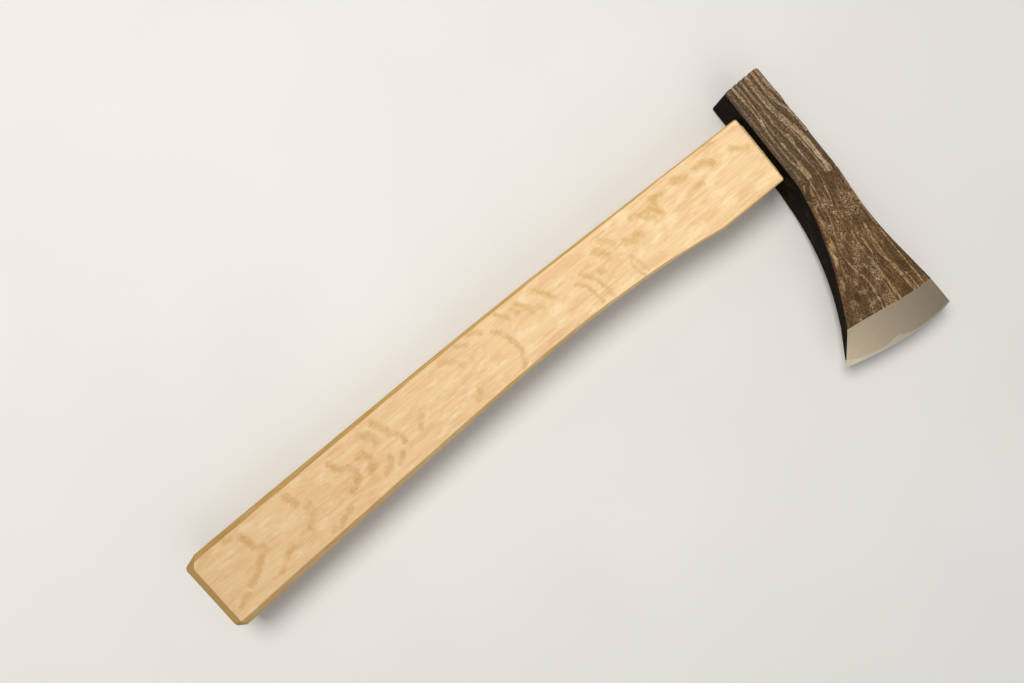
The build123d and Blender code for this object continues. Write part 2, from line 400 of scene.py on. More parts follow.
def side_x(sign, y):
    height = MID + (EYE_CLEAR if y < BEND_Y else 0.0)
    return cast(HEAD_TREE, (sign * FAR, y, height), (-sign, 0, 0)).x


def side_table(sign, kink_y, end_y):
    """The head's outline on one side as matching lists of y and x."""
    start = POLL_Y + np.array([0.005, 0.06, 0.15, 0.3, 0.5, 0.75, 1.05, 1.5])
    ys = list(start) + [BEND_Y]
    xs = [side_x(sign, y) for y in ys]
    stations = np.linspace(BEND_Y, kink_y, 10)
    fine = np.linspace(BEND_Y, kink_y, 60)[1:]
    ys += list(fine)
    xs += list(cubic(stations, [side_x(sign, y) for y in stations], fine))
    if end_y > kink_y:
        ys.append(end_y)
        xs.append(xs[-1] + (side_x(sign, end_y - 1) - xs[-1]) * (end_y - kink_y) / (end_y - 1 - kink_y))
    return np.array(ys), np.array(xs)


def edge_y_table():
    xs = np.linspace(EDGE_LOW.x + 0.4, EDGE_HIGH.x - 0.4, 12)
    return xs, np.array([cast(HEAD_TREE, (x, FAR, MID), (0, -1, 0)).y for x in xs])


def half_table():
    """Half thickness of the head against y, measured along x = 0 as far as the bevel."""
    ys = np.arange(BEND_Y - 12, border_y(0.0) - 1.0, 4.0)
    tops = [cast(HEAD_TREE, (0.0, y, FAR), (0, 0, -1)).z for y in ys]
    return ys, np.array(tops) - MID


crease = crease_points()
line_fit = np.polyfit(crease[:, 0], crease[:, 1], 3)


def border_y(x):
    return np.polyval(line_fit, x)


EDGE_X, EDGE_Y = edge_y_table()
TOE = np.array([EDGE_LOW.x, cubic(EDGE_X, EDGE_Y, EDGE_LOW.x)])
HEEL = np.array([EDGE_HIGH.x, cubic(EDGE_X, EDGE_Y, EDGE_HIGH.x)])
LINE_TOE = np.array([crease[0, 0], border_y(crease[0, 0])])
LINE_HEEL = np.array([crease[-1, 0], border_y(crease[-1, 0])])
TOP_Y, TOP_X = side_table(-1, TOE[1] - 0.3, TOE[1])
UNDER_Y, UNDER_X = side_table(1, LINE_HEEL[1], HEEL[1])
HALF_Y, HALF = half_table()


def cheek_half(y):
    return np.minimum(cubic(HALF_Y, HALF, y), MID)


def line_bow(s):
    """How far the bevel's border bows from its chord."""
    x = LINE_TOE[0] + s * (LINE_HEEL[0] - LINE_TOE[0])
    return border_y(x) - (LINE_TOE[1] + s * (LINE_HEEL[1] - LINE_TOE[1]))


def edge_bow(s):
    x = TOE[0] + s * (HEEL[0] - TOE[0])
    return cubic(EDGE_X, EDGE_Y, x) - (TOE[1] + s * (HEEL[1] - TOE[1]))


def sides(top_y, under_y):
    top_x = np.maximum(np.interp(top_y, TOP_Y, TOP_X), EDGE_LOW.x)
    under_x = np.interp(under_y, UNDER_Y, UNDER_X)
    return top_x, under_x


def cheek_plan(s, t):
    top_y = POLL_Y + t * (LINE_TOE[1] - POLL_Y)
    under_y = POLL_Y + t * (LINE_HEEL[1] - POLL_Y)
    top_x, under_x = sides(top_y, under_y)
    return top_x + s * (under_x - top_x), top_y + s * (under_y - top_y) + t * line_bow(s)


def bevel_plan(s, v):
    top_y = LINE_TOE[1] + v * (TOE[1] - LINE_TOE[1])
    under_y = LINE_HEEL[1] + v * (HEEL[1] - LINE_HEEL[1])
    top_x, under_x = sides(top_y, under_y)
    bow = (1 - v) * line_bow(s) + v * edge_bow(s)
    return top_x + s * (under_x - top_x), top_y + s * (under_y - top_y) + bow


def bevel_half(s, v):
    """Half thickness of the ground bevel, which is straight from its border to the edge."""
    border = cheek_half(cheek_plan(s, np.ones_like(s))[1])
    return border * (1 - v) + EDGE_HALF * v


def layer_start(s):
    """v at which the hard steel layer shows."""
    x0, y0 = bevel_plan(s, np.zeros_like(s))
    x1, y1 = bevel_plan(s, np.ones_like(s))
    places, widths = zip(*STRIP_WIDTH)
    ragged = 0.16 * fractal(s * 34, 0.5, 71)
    return 1 - (cubic(places, widths, s) + ragged) / np.hypot(x1 - x0, y1 - y0)


def layer_half(s):
    return bevel_half(s, layer_start(s))


def spread(width):
    """Places across rows of the given widths, close together at both rims."""
    rim = RIM_STEPS[None, :] / width[:, None]
    inner = np.linspace(0, 1, COLUMNS)[None, 1:-1]
    middle = rim[:, -1:] + inner * (1 - 2 * rim[:, -1:])
    return np.concatenate([rim, middle, 1 - rim[:, ::-1]], axis=1)


# ---- forged relief ---------------------------------------------------------------------
def ridge_height(s, t, width, length, side):
    """Height from 0 in the grooves to 1 on the ridges."""
    seed = 100 * side
    wander = (0.006 + 0.03 * side) * fractal(t * 9, s * 2.5, seed + 1)
    wander = wander + 0.0035 * fractal(t * 45, s * 7, seed + 5)
    height = 0.42 * smoothstep(0.41, 0.52, t) + np.zeros_like(s)
    for i, (half_width, top, path) in enumerate(RIDGES):
        ts, places = zip(*path)
        centre = cubic(ts, places, np.clip(t, ts[0], ts[-1]))
        off = np.abs(s + wander - centre) * width
        half_width = half_width * (1 + 0.3 * fractal(t * 34, i * 1.7, seed + 21))
        rise = 1.0 if ts[0] <= 0 else smoothstep(ts[0] - 0.012, ts[0] + 0.02, t)
        fall = 0.0 if ts[-1] >= 1 else smoothstep(ts[-1] - 0.02, ts[-1] + 0.012, t)
        whole = rise * (1 - fall)
        height = height - 0.2 * whole * np.exp(-(((off - half_width - 0.55) / 0.4) ** 2))
        height = np.maximum(height, top * whole / (1 + (off / half_width) ** 6))
    fibre = fractal(t * length / 11, s * width / 0.55, seed + 9)
    blotch = fractal(t * length / 5, s * width / 2.2, seed + 13)
    height = height + FIBRE_RELIEF * fibre + BLOTCH_RELIEF * blotch
    return np.clip(height - KNOT_SINK * knot_cover(s, t, width, length), 0, 1.1)


def knot_cover(s, t, width, length):
    """1 in the middle of a knot, 0 away from it."""
    cover = np.zeros_like(s)
    for knot_t, knot_s, along, across in KNOTS:
        reach = ((t - knot_t) * length / along) ** 2 + ((s - knot_s) * width / across) ** 2
        cover = np.maximum(cover, np.exp(-(reach**2)))
    return cover


def rim_drop(to_side, to_poll, radius):
    side = np.maximum(radius - to_side, 0)
    poll = np.maximum(radius - to_poll, 0)
    return radius - np.sqrt(np.maximum(radius**2 - side**2 - poll**2, 0))


def bevel_rows(first_width):
    """Rows from the bevel's border to the hard steel: share of the way, width, s and v."""
    share = np.linspace(0, 1, BEVEL_ROWS + 1)[1:]
    edge_width = math.hypot(HEEL[0] - TOE[0], HEEL[1] - TOE[1])
    width = first_width + share * (edge_width - first_width)
    s = spread(width)
    return share, width, s, layer_start(s) * share[:, None]


def cheek_grid(length):
    """Plan of a cheek and its bevel: s, t, v, x, y, width and share of the way down the bevel."""
    t = np.concatenate([RIM_STEPS / length, np.linspace(RIM_STEPS[-1] / length, 1, CHEEK_ROWS)[1:]])
    ends = np.array([cheek_plan(np.array([0.0, 1.0]), np.array([place, place])) for place in t])
    width = np.hypot(ends[:, 0, 1] - ends[:, 0, 0], ends[:, 1, 1] - ends[:, 1, 0])
    s = spread(width)
    t = np.broadcast_to(t[:, None], s.shape)
    x, y = cheek_plan(s, t)
    line_y = cheek_plan(s, np.ones_like(s))[1]
    v = (y - line_y) / (bevel_plan(s, np.ones_like(s))[1] - line_y)

    share, bevel_width, bevel_s, bevel_v = bevel_rows(width[-1])
    bevel_x, bevel_y = bevel_plan(bevel_s, bevel_v)
    both = ((s, bevel_s), (t, 1 + bevel_v * BEVEL_T), (v, bevel_v), (x, bevel_x), (y, bevel_y))
    s, t, v, x, y = (np.concatenate(pair) for pair in both)
    width = np.concatenate([width, bevel_width])[:, None] + np.zeros_like(s)
    share = np.concatenate([np.zeros(len(t) - BEVEL_ROWS), share])[:, None]
    return s, t, v, x, y, width, share


def cheek_sheet(side):
    """Points of one cheek with its bevel down to the hard steel, and what its grain shows."""
    length = LINE_TOE[1] - POLL_Y
    s, t, v, x, y, width, share = cheek_grid(length)
    ridge = ridge_height(s, t, width, length, side)
    depth = GROOVE_DEPTH + (FAR_GROOVE_DEPTH - GROOVE_DEPTH) * smoothstep(0.5, 1.0, t)
    sunk = depth * np.clip(1 - ridge, 0, 1)
    cheek = cheek_half(y) - sunk
    bevel = bevel_half(s, v)
    to_side = np.minimum(s, 1 - s) * width
    to_poll = t * length
    radius = RIM_RADIUS + (BEVEL_RIM_RADIUS - RIM_RADIUS) * smoothstep(0.9, 1.0, t)
    radius = np.maximum(radius * (1 - share), 1e-6)
    half = np.minimum(cheek, bevel) - rim_drop(to_side, to_poll, radius)
    inward = 0.5 * sunk * np.exp(-to_side / 0.8) * (1 - smoothstep(0.6, 0.72, t))
    x = x + np.where(s < 0.5, inward, -inward)
    y = y + 0.8 * sunk * np.exp(-to_poll / 0.8)
    z = MID - half if side else MID + half
    knot = knot_cover(s, t, width, length)
    seen = dict(ridge=ridge, knot=knot, ground=cheek - bevel, along=t, across=s)
    return stack(x, y, z), seen


# ---- head ------------------------------------------------------------------------------
def slot_row(points):
    """Row of a cheek sheet at which the slot for the hard steel layer begins."""
    return int(np.argmin(np.abs(points[:, 0, 1] - EDGE_LOW.y)))


def layer_face(points, slot, half, way):
    """Points from the slot on, moved to the upper or lower face of the hard steel layer."""
    face = points[slot:].copy()
    face[..., 2] = MID + way * half[slot:]
    return face


def wall_shares(upper, lower, half):
    """Shares of a wall's height at which its points lie, so that the layer's faces are met."""
    high = (upper - (MID + half)) / (upper - lower)
    low = (upper - (MID - half)) / (upper - lower)
    first = np.linspace(0, high, WALL_STEPS + 1)
    layer = np.linspace(high, low, LAYER_STEPS + 1)[1:]
    last = np.linspace(low, 1, WALL_STEPS + 1)[1:]
    return np.concatenate([first, layer, last])


def eye_rim(y, z):
    """Points of the eye's mouth in the directions of the given points, seen from its centre."""
    away = np.hypot(y, z - MID)
    dy, dz = np.abs(y) / away, np.abs(z - MID) / away
    reach = np.minimum(EYE_HALF_LENGTH / np.maximum(dy, 1e-9), EYE_HALF_WIDTH / np.maximum(dz, 1e-9))
    cy, cz = EYE_HALF_LENGTH - EYE_CORNER, EYE_HALF_WIDTH - EYE_CORNER
    along = cy * dy + cz * dz
    root = along**2 - (cy**2 + cz**2 - EYE_CORNER**2)
    corner = (reach * dy > cy) & (reach * dz > cz)
    reach = np.where(corner, along + np.sqrt(np.maximum(root, 0)), reach)
    return y / away * reach, MID + (z - MID) / away * reach


def dent(points, sign, amount):
    """Small forging dents pushed into a wall, fading to its borders."""
    y, z = points[..., 1], points[..., 2]
    depth = DENT_DEPTH * (1 + fractal(y / 9, z / 3.5, 31 + sign))
    depth += FINE_DENT_DEPTH * (1 + fractal(y / 16, z / 1.1, 37 + sign))
    made = points.copy()
    made[..., 0] -= sign * depth * amount
    return made


def eye_wall(shell, upper, lower, first, last, shares, sign):
    """Wall round the eye's mouth, and the mouth's loop of points inside the rounded rim."""
    ends = [between(upper[row][None], lower[row][None], shares)[0] for row in (last, first)]
    loop = [upper[first : last + 1], ends[0][1:], lower[first:last][::-1], ends[1][::-1][1:]]
    outer = np.concatenate(loop)
    rim_y, rim_z = eye_rim(outer[:, 1], outer[:, 2])
    table_y, table_x = (TOP_Y, TOP_X) if sign < 0 else (UNDER_Y, UNDER_X)
    rim = stack(np.interp(rim_y, table_y, table_x), rim_y, rim_z)
    eased = 1 + EYE_LIP / np.hypot(rim_y, rim_z - MID)
    steps = np.linspace(0, 1, 22)
    lip = stack(rim[:, 0], rim_y * eased, MID + (rim_z - MID) * eased)
    sheet = dent(between(outer, lip, steps), sign, end_fade(steps, 6)[None, :])
    mouth = rim - np.array([sign * EYE_LIP, 0, 0])
    middle = (lip + mouth) / 2 + 0.4 * ((rim - lip) + (rim - mouth)) / 2
    shell.sheet(sheet, kind=1)
    shell.sheet(np.stack([lip, middle, mouth], 1), kind=1)
    return mouth


def head_side(shell, upper, lower, slot, half, eye_rows, sign):
    """One of the head's two narrow sides; returns the loop of the eye's mouth."""
    shares = wall_shares(upper[slot, 2], lower[slot, 2], half[slot])
    eye_first, eye_last = eye_rows
    for first, last in ((0, eye_first), (eye_last, slot)):
        sheet = between(upper[first : last + 1], lower[first : last + 1], shares)
        rows = np.arange(first, last + 1)[:, None]
        fade = end_fade(shares, 8)[None, :]
        for away in (np.abs(rows - eye_first), np.abs(rows - eye_last), slot - rows, rows):
            fade = fade * np.clip(away / 8, 0, 1)
        shell.sheet(dent(sheet, sign, fade), kind=1)
    mouth = eye_wall(shell, upper, lower, eye_first, eye_last, shares, sign)
    for edge, way in ((upper, 1), (lower, -1)):
        inner = layer_face(edge, slot, half, way)
        shell.sheet(between(edge[slot:], inner, np.linspace(0, 1, WALL_STEPS + 1)), kind=1)
    return mouth


def poll_face(upper, lower, slot, half):
    """The struck face, from the first row of one cheek to that of the other."""
    corners = [(upper[slot, i, 2], lower[slot, i, 2], half[slot, i]) for i in (0, -1)]
    ends = [wall_shares(*corner) for corner in corners]
    across = np.linspace(0, 1, upper.shape[1])[:, None]
    shares = ends[0] * (1 - across) + ends[1] * across
    poll = between(upper[0], lower[0], shares)
    uneven = 1 + fractal(poll[..., 0] / 4, poll[..., 2] / 4, 51)
    poll[..., 1] += POLL_DENT_DEPTH * uneven * end_fade(shares, 7) * end_fade(across, 7)
    return poll


def build_head(materials):
    shell = Shell()
    upper, upper_seen = cheek_sheet(0)
    lower, lower_seen = cheek_sheet(1)
    slot = slot_row(upper)
    half = layer_half(upper_seen["across"])
    shell.sheet(upper, kind=0, **upper_seen)
    shell.sheet(lower, kind=0, **lower_seen)
    eye_rows = [int(row) for row in np.searchsorted(upper[:, 0, 1], EYE_BLOCK)]
    mouths = []
    for column, sign in ((0, -1), (-1, 1)):
        lines = (upper[:, column], lower[:, column], slot, half[:, column])
        mouths.append(head_side(shell, *lines, eye_rows, sign))
    tunnel = between(mouths[0], mouths[1], np.linspace(0, 1, 12))
    inner = tunnel[:, 1:-1]
    inner[..., 1], inner[..., 2] = eye_rim(inner[..., 1], inner[..., 2])
    shell.sheet(tunnel, kind=1)
    shell.sheet(poll_face(upper, lower, slot, half), kind=1)
    faces = [layer_face(cheek, slot, half, way) for cheek, way in ((upper, 1), (lower, -1))]
    for face in faces:
        shell.sheet(face, kind=1)
    shell.sheet(between(faces[0][0], faces[1][0], np.linspace(0, 1, LAYER_STEPS + 1)), kind=1)
    return shell.make("head_forged", materials), (upper, lower, slot, upper_seen)


def build_edge(parts, materials):
    """Hard steel layer: a slab in the slot, then the strip ground down to the edge."""
    upper, lower, slot, seen = parts
    s = seen["across"]
    layer = layer_half(s)[slot:] - SLOT_GAP
    share = np.linspace(0, 1, STRIP_ROWS + 1)[1:, None]
    strip_s = np.broadcast_to(s[-1][None, :], (STRIP_ROWS, s.shape[1]))
    start = layer_start(strip_s)
    strip_v = start + (1 - start) * share
    strip_x, strip_y = bevel_plan(strip_s, strip_v)
    strip_half = bevel_half(strip_s, strip_v)
    strip_half = np.minimum(strip_half, layer[-1][None, :])
    x = np.concatenate([upper[slot:, :, 0], strip_x])
    y = np.concatenate([upper[slot:, :, 1], strip_y])
    y[0] += SLOT_GAP
    half = np.concatenate([layer, strip_half])
    shell = Shell()
    faces = [stack(x, y, MID + way * half) for way in (1, -1)]
    strip = np.concatenate([np.zeros_like(layer), np.ones_like(strip_half)])
    for face in faces:
        shell.sheet(face, strip=strip)
    steps = np.linspace(0, 1, LAYER_STEPS + 1)
    for line in (np.s_[0], np.s_[-1]):
        shell.sheet(between(faces[0][line], faces[1][line], steps))
    ground = len(layer) - 1
    for column in (0, -1):
        side = between(faces[0][:, column], faces[1][:, column], steps)
        shell.sheet(side[: ground + 1], kind=1)
        shell.sheet(side[ground:])
    return shell.make("edge_layer", materials, sharp_degrees=25)


# ---- handle ----------------------------------------------------------------------------
def octagon(low_y, high_y, half, flat):
    """Corners of a rectangle with its four corners cut, for every row."""
    low_y, high_y, half, flat = np.broadcast_arrays(low_y, high_y, half, flat)
    corners = [
        (high_y, -half + flat),
        (high_y, half - flat),
        (high_y - flat, half),
        (low_y + flat, half),
        (low_y, half - flat),
        (low_y, -half + flat),
        (low_y + flat, -half),
        (high_y - flat, -half),
    ]
    return np.stack([np.stack(corner, -1) for corner in corners], 1)


def eased_ring(corners, radius):
    """Ring of points round each section, with every corner rounded. Shape: rows, points, 2."""
    radius = np.broadcast_to(radius, corners.shape[:1])[:, None]
    counts = [NARROW_POINTS, FLAT_POINTS, BROAD_POINTS, FLAT_POINTS] * 2
    reach = radius * math.tan(math.pi / 8)
    ring = []
    starts = []
    stops = []
    for i in range(8):
        before = corners[:, i] - corners[:, i - 1]
        after = corners[:, (i + 1) % 8] - corners[:, i]
        before = before / np.linalg.norm(before, axis=1, keepdims=True)
        after = after / np.linalg.norm(after, axis=1, keepdims=True)
        starts.append(corners[:, i] - before * reach)
        stops.append(corners[:, i] + after * reach)
    for i in range(8):
        for a in np.linspace(0, 1, ARC_POINTS):
            ring.append((1 - a) ** 2 * starts[i] + 2 * a * (1 - a) * corners[:, i] + a * a * stops[i])
        for a in np.linspace(0, 1, counts[i] + 2)[1:-1]:
            ring.append(stops[i] * (1 - a) + starts[(i + 1) % 8] * a)
    return np.stack(ring, 1)


def handle_sections():
    """Edges, half thickness and corner flats of the grip, read from the CAD."""
    rows = []
    for x in SECTION_STATIONS:
        low = cast(HANDLE_TREE, (x, -FAR, MID), (0, 1, 0)).y
        high = cast(HANDLE_TREE, (x, FAR, MID), (0, -1, 0)).y
        top = cast(HANDLE_TREE, (x, (low + high) / 2, FAR), (0, 0, -1)).z
        flats = []
        for edge, way in ((low, 1), (high, -1)):
            start = Vector((x, edge - way * PROBE, top + PROBE))
            found = cast(HANDLE_TREE, start, Vector((0, way, -1)).normalized())
            flats.append(((found - start).length - PROBE * math.sqrt(2)) * math.sqrt(2))
        rows.append((low, high, top - MID, sum(flats) / 2))
    return np.array(rows)


def handle_profile(x):
    rows = handle_sections()
    seam = SECTION_STATIONS.index(SEAM_X)
    grip = cubic(SECTION_STATIONS[seam - 1 :], rows[seam - 1 :, 1], x)
    block = np.interp(x, SECTION_STATIONS[:seam], rows[:seam, 1])
    high = np.where(x < SECTION_STATIONS[seam - 1], block, grip)
    low, half, flat = (cubic(SECTION_STATIONS, rows[:, i], x) for i in (0, 2, 3))
    return low, high, half, flat


def fleck_cover(points, upper):
    """How far each point lies inside a ray fleck, from 0 outside to 1 at its middle."""
    x = points[:, 0]
    y = points[:, 1] if upper else -points[:, 1]
    x = x if upper else HANDLE_HIGH.x + FLECK_SHIFT - x
    x = x + 0.9 * fractal(points[:, 0] / 2.6, points[:, 1] / 1.3, 61)
    y = y + 0.7 * fractal(points[:, 0] / 3.1, points[:, 1] / 1.7, 67)
    cover = np.zeros(len(points))
    for width, path in FLECKS:
        for (x0, y0), (x1, y1) in zip(path, path[1:]):
            dx, dy = x1 - x0, y1 - y0
            share = np.clip(((x - x0) * dx + (y - y0) * dy) / (dx * dx + dy * dy), 0, 1)
            off = np.hypot(x - x0 - share * dx, y - y0 - share * dy)
            cover = np.maximum(cover, np.clip(1 - off / (FLECK_SPREAD * width), 0, 1))
    return cover


def planed(x, ring):
    """Slight hollows left by the plane, each running a little way along its face."""
    y, z = ring[..., 0], ring[..., 1]
    angle = np.arctan2(z / GRIP_HALF_HEIGHT, y / GRIP_HALF_WIDTH)
    depth = PLANE_HOLLOW * (1 + fractal(x / 34, angle * 2.2, 81))
    depth += PLANE_CHATTER * (1 + fractal(x / 9, angle * 6, 85))
    away = np.hypot(y, z)[..., None]
    return ring - ring / away * depth[..., None]


def butt_plane():
    """Where the end of the butt stands at y = 0, and how x falls with y across it."""
    ends = [cast(HANDLE_TREE, (2 * FAR, y, MID), (-1, 0, 0)).x for y in (-BUTT_PROBE, BUTT_PROBE)]
    return (ends[0] + ends[1]) / 2, (ends[0] - ends[1]) / (2 * BUTT_PROBE)


def grip_rows(butt_x):
    """x of the grip's sections, how far each is drawn in, and how far each is cut across."""
    taper = np.array([0.0, 0.05, 0.15, 0.4, 0.7, 1.0])
    ease = np.array([0.0, 0.3, 0.6])
    main = np.arange(SHOULDER_X + SHOULDER_EASE, butt_x - BUTT_TAPER - 0.2, HANDLE_STEP)
    x = np.concatenate([SHOULDER_X + ease * SHOULDER_EASE, main, butt_x - BUTT_TAPER * (1 - taper)])
    inset = np.concatenate([(1 - ease) * SHOULDER_EASE, np.zeros(len(main)), BUTT_INSET * taper])
    cut = np.where(x > butt_x - BUTT_TAPER + 0.1, 1.0, np.where(x < main[0], 0.45, 0.0))
    return x, inset, cut


def grip_surface(x, inset, butt_x, tilt):
    """Points of the grip's sections, which slant towards the butt as its end does."""
    low, high, half, flat = handle_profile(np.minimum(x, butt_x - 2))
    flat = flat - CORNER_FLAT * inset
    corners = octagon(low + inset, high - inset, half - inset, np.maximum(flat, 0.35))
    ring = eased_ring(corners, np.minimum(ARRIS, flat * 0.8))
    ring = planed(x[:, None], ring)
    y = ring[..., 0]
    chamfer_x = butt_x - BUTT_TAPER
    slant = tilt * smoothstep(butt_x - BUTT_SLANT_REACH, chamfer_x, x)[:, None]
    near_end = smoothstep(butt_x - BUTT_CORNER_REACH, chamfer_x, x)
    near_end = near_end * (1 - smoothstep(chamfer_x, butt_x, x))
    corner = smoothstep(-7.0, -1.0, low[:, None] - y) * BUTT_CORNER * near_end[:, None]
    along = np.minimum(x[:, None] - slant * y - corner, HANDLE_HIGH.x)
    return stack(along, y, MID + ring[..., 1])


def tang_surface():
    end = HANDLE_LOW.x
    x = np.linspace(SHOULDER_X, end + TANG_END, int((SHOULDER_X - end) / TANG_STEP))
    x = np.append(x, end)
    shrink = np.where(x == end, TANG_END_EASE, 0.0) + TANG_GAP
    reach = EYE_HALF_LENGTH - shrink
    corners = octagon(-reach, reach, EYE_HALF_WIDTH - shrink, CORNER_FLAT * TANG_CORNER)
    ring = eased_ring(corners, TANG_CORNER * 0.98)
    return stack(x[:, None], ring[..., 0], MID + ring[..., 1])


def build_handle(materials):
    butt_x, tilt = butt_plane()
    x, inset, cut = grip_rows(butt_x)
    grip = grip_surface(x, inset, butt_x, tilt)
    tang = tang_surface()
    fleck = np.zeros(grip.shape[:2])
    for upper in (True, False):
        height = (grip[..., 2] - MID) * (1 if upper else -1)
        face = height > FACE_FROM
        fleck[face] = fleck_cover(grip[face], upper)
    cut = np.broadcast_to(cut[:, None], fleck.shape)
    shell = Shell()
    shell.tube(grip, fleck=fleck, facet=flat_shade_mask(fleck.shape), cut=cut)
    shell.tube(between(grip[0], tang[0], np.linspace(0, 1, 9)).transpose(1, 0, 2), kind=1)
    shell.tube(tang)
    for end in (grip[-1], tang[-1]):
        centre = np.broadcast_to(end.mean(axis=0), end.shape)
        rings = between(end, centre, np.linspace(0, 1, 16) ** 0.8)
        shell.tube(rings.transpose(1, 0, 2), kind=1)
    blank = shell.make("handle_planed", materials, sharp_degrees=50)
    return notched(blank, [wooden_wedge_cutter()] + steel_wedge_cutters())


def flat_shade_mask(shape):
    """How much painted shade darkens the narrow flats along the handle's corners; 0 on its four broad
    faces. The flats on the blade's side get less, as the lamps leave them darker.
    """
    half = ARC_POINTS // 2
    ring = []
    painted_shades = (0.6, 1.0, 1.0, 0.6)
    for i, broad in enumerate((NARROW_POINTS, BROAD_POINTS) * 2):
        ring += [painted_shades[i - 1]] * half + [0.0] * (half + broad + half)
        ring += [painted_shades[i]] * (half + FLAT_POINTS)
    return np.broadcast_to(np.array(ring)[None, :], shape)


# ---- wedges ----------------------------------------------------------------------------
def bar(x, low_y, high_y, half, flat):
    """Closed bar of eased sections along x."""
    corners = octagon(low_y, high_y, half, flat)
    ring = eased_ring(corners, flat * 1.2)
    body = stack(np.asarray(x)[:, None], ring[..., 0], MID + ring[..., 1])
    shell = Shell()
    shell.tube(body)
    for end in (body[0], body[-1]):
        low, high = end[:, 1:].min(axis=0), end[:, 1:].max(axis=0)
        reach = (high - low).min() / 2
        spine = end.copy()
        spine[:, 1:] = np.clip(end[:, 1:], low + reach, high - reach)
        shell.tube(between(end, spine, np.linspace(0, 1, 5)).transpose(1, 0, 2), kind=1)
    return shell


def taper_half(inward, depth, mouth, tip):
    """Half thickness of a wedge this far in from its struck end."""
    return (mouth + (tip - mouth) * inward / depth) / 2


def prism(name, outline, low, high, axis):
    """Plain closed cutter: an outline of (x, y or z), drawn out along the remaining axis."""
    work = bmesh.new()
    loops = []
    for level in (low, high):
        spots = [(x, level, w) if axis == "Y" else (x, w, level) for x, w in outline]
        loops.append([work.verts.new(Vector(spot) * MM) for spot in spots])
    work.faces.new(loops[0])
    work.faces.new(loops[1][::-1])
    for i in range(len(outline)):
        j = (i + 1) % len(outline)
        work.faces.new((loops[0][i], loops[1][i], loops[1][j], loops[0][j]))
    bmesh.ops.recalc_face_normals(work, faces=work.faces)
    mesh = bpy.data.meshes.new(name)
    work.to_mesh(mesh)
    work.free()
    return new_object(name, mesh)


def taper_outline(centre, depth, mouth, tip):
    """Tapered outline that starts a little outside the tang's end."""
    start = WEDGE_LOW.x - 1.0
    end = WEDGE_LOW.x + depth
    wide = taper_half(start - WEDGE_LOW.x, depth, mouth, tip)
    lower = [(start, centre - wide), (end, centre - tip / 2)]
    return lower + [(end, centre + tip / 2), (start, centre + wide)]


WEDGE_DEPTH = WEDGE_HIGH.x - WEDGE_LOW.x
WEDGE_MOUTH = WEDGE_HIGH.z - WEDGE_LOW.z
WEDGE_TIP = 0.8
STEEL_DEPTH = STEEL_HIGH.x - STEEL_LOW.x
STEEL_SPACING = 17.0
STEEL_MOUTH = STEEL_HIGH.y - STEEL_LOW.y - STEEL_SPACING
STEEL_TIP = 0.5
WEDGE_GAP = 0.02
STRUCK_DISH = 0.16  # mean depth of the dish and burrs on the steel wedges' ends


def wooden_wedge_cutter():
    outline = taper_outline(MID, WEDGE_DEPTH, WEDGE_MOUTH, WEDGE_TIP)
    return prism("cut_wood", outline, WEDGE_LOW.y - 1, WEDGE_HIGH.y + 1, "Y")


def steel_wedge_cutters():
    cutters = []
    for side in (-1, 1):
        outline = taper_outline(side * STEEL_SPACING / 2, STEEL_DEPTH, STEEL_MOUTH, STEEL_TIP)
        cutters.append(prism("cut_steel", outline, STEEL_LOW.z, STEEL_HIGH.z, "Z"))
    return cutters


def notched(blank, cutters):
    """The blank with the cutters taken out of it."""
    for cutter in cutters:
        cut = blank.modifiers.new("cut", "BOOLEAN")
        cut.operation = "DIFFERENCE"
        cut.solver = "EXACT"
        cut.object = cutter
    bpy.context.view_layer.update()
    view = blank.evaluated_get(bpy.context.evaluated_depsgraph_get())
    mesh = bpy.data.meshes.new_from_object(view)
    mesh.name = blank.name
    blank.modifiers.clear()
    blank.data = mesh
    for cutter in cutters:
        bpy.data.objects.remove(cutter)
    return blank


def build_wooden_wedge(materials):
    inward = np.append(0.0, np.linspace(0.15, WEDGE_DEPTH - WEDGE_GAP, 24))
    x = WEDGE_LOW.x + inward
    half = taper_half(x - WEDGE_LOW.x, WEDGE_DEPTH, WEDGE_MOUTH, WEDGE_TIP) - WEDGE_GAP
    flat = np.minimum(0.25, half * 0.5)
    shell = bar(x, WEDGE_LOW.y + 0.05, WEDGE_HIGH.y - 0.05, half, flat)
    return notched(shell.make("wedge_wood", materials, sharp_degrees=50), steel_wedge_cutters())


def build_steel_wedges(materials):
    """Two flat wedges whose struck ends are dished and burred."""
    whole = Shell()
    for side in (-1, 1):
        inward = np.append([0.0, 0.12, 0.35, 0.7], np.linspace(1.2, STEEL_DEPTH - WEDGE_GAP, 16))
        x = STEEL_LOW.x + inward
        half_y = taper_half(x - x[0], STEEL_DEPTH, STEEL_MOUTH, STEEL_TIP) - WEDGE_GAP
        centre = side * STEEL_SPACING / 2
        half_z = np.full(len(x), (STEEL_HIGH.z - STEEL_LOW.z) / 2 - WEDGE_GAP)
        flat = np.minimum(0.22, half_y * 0.6)
        one = bar(x, centre - half_y, centre + half_y, half_z, flat)
        for points, quads, kinds, values in zip(one.points, one.quads, one.kinds, one.values):
            struck = np.clip(1 - (points[:, 0] - STEEL_LOW.x) / 0.3, 0, 1)
            dish = STRUCK_DISH * (1 + fractal(points[:, 1] / 0.8, points[:, 2] / 1.6, 91 + side))
            moved = points.copy()
            moved[:, 0] += struck * dish
            whole.points.append(moved)
            whole.quads.append(quads + whole.count)
            whole.kinds.append(kinds)
            whole.values.append(values)
        whole.count += one.count
    return whole.make("wedges_steel", materials, sharp_degrees=50)


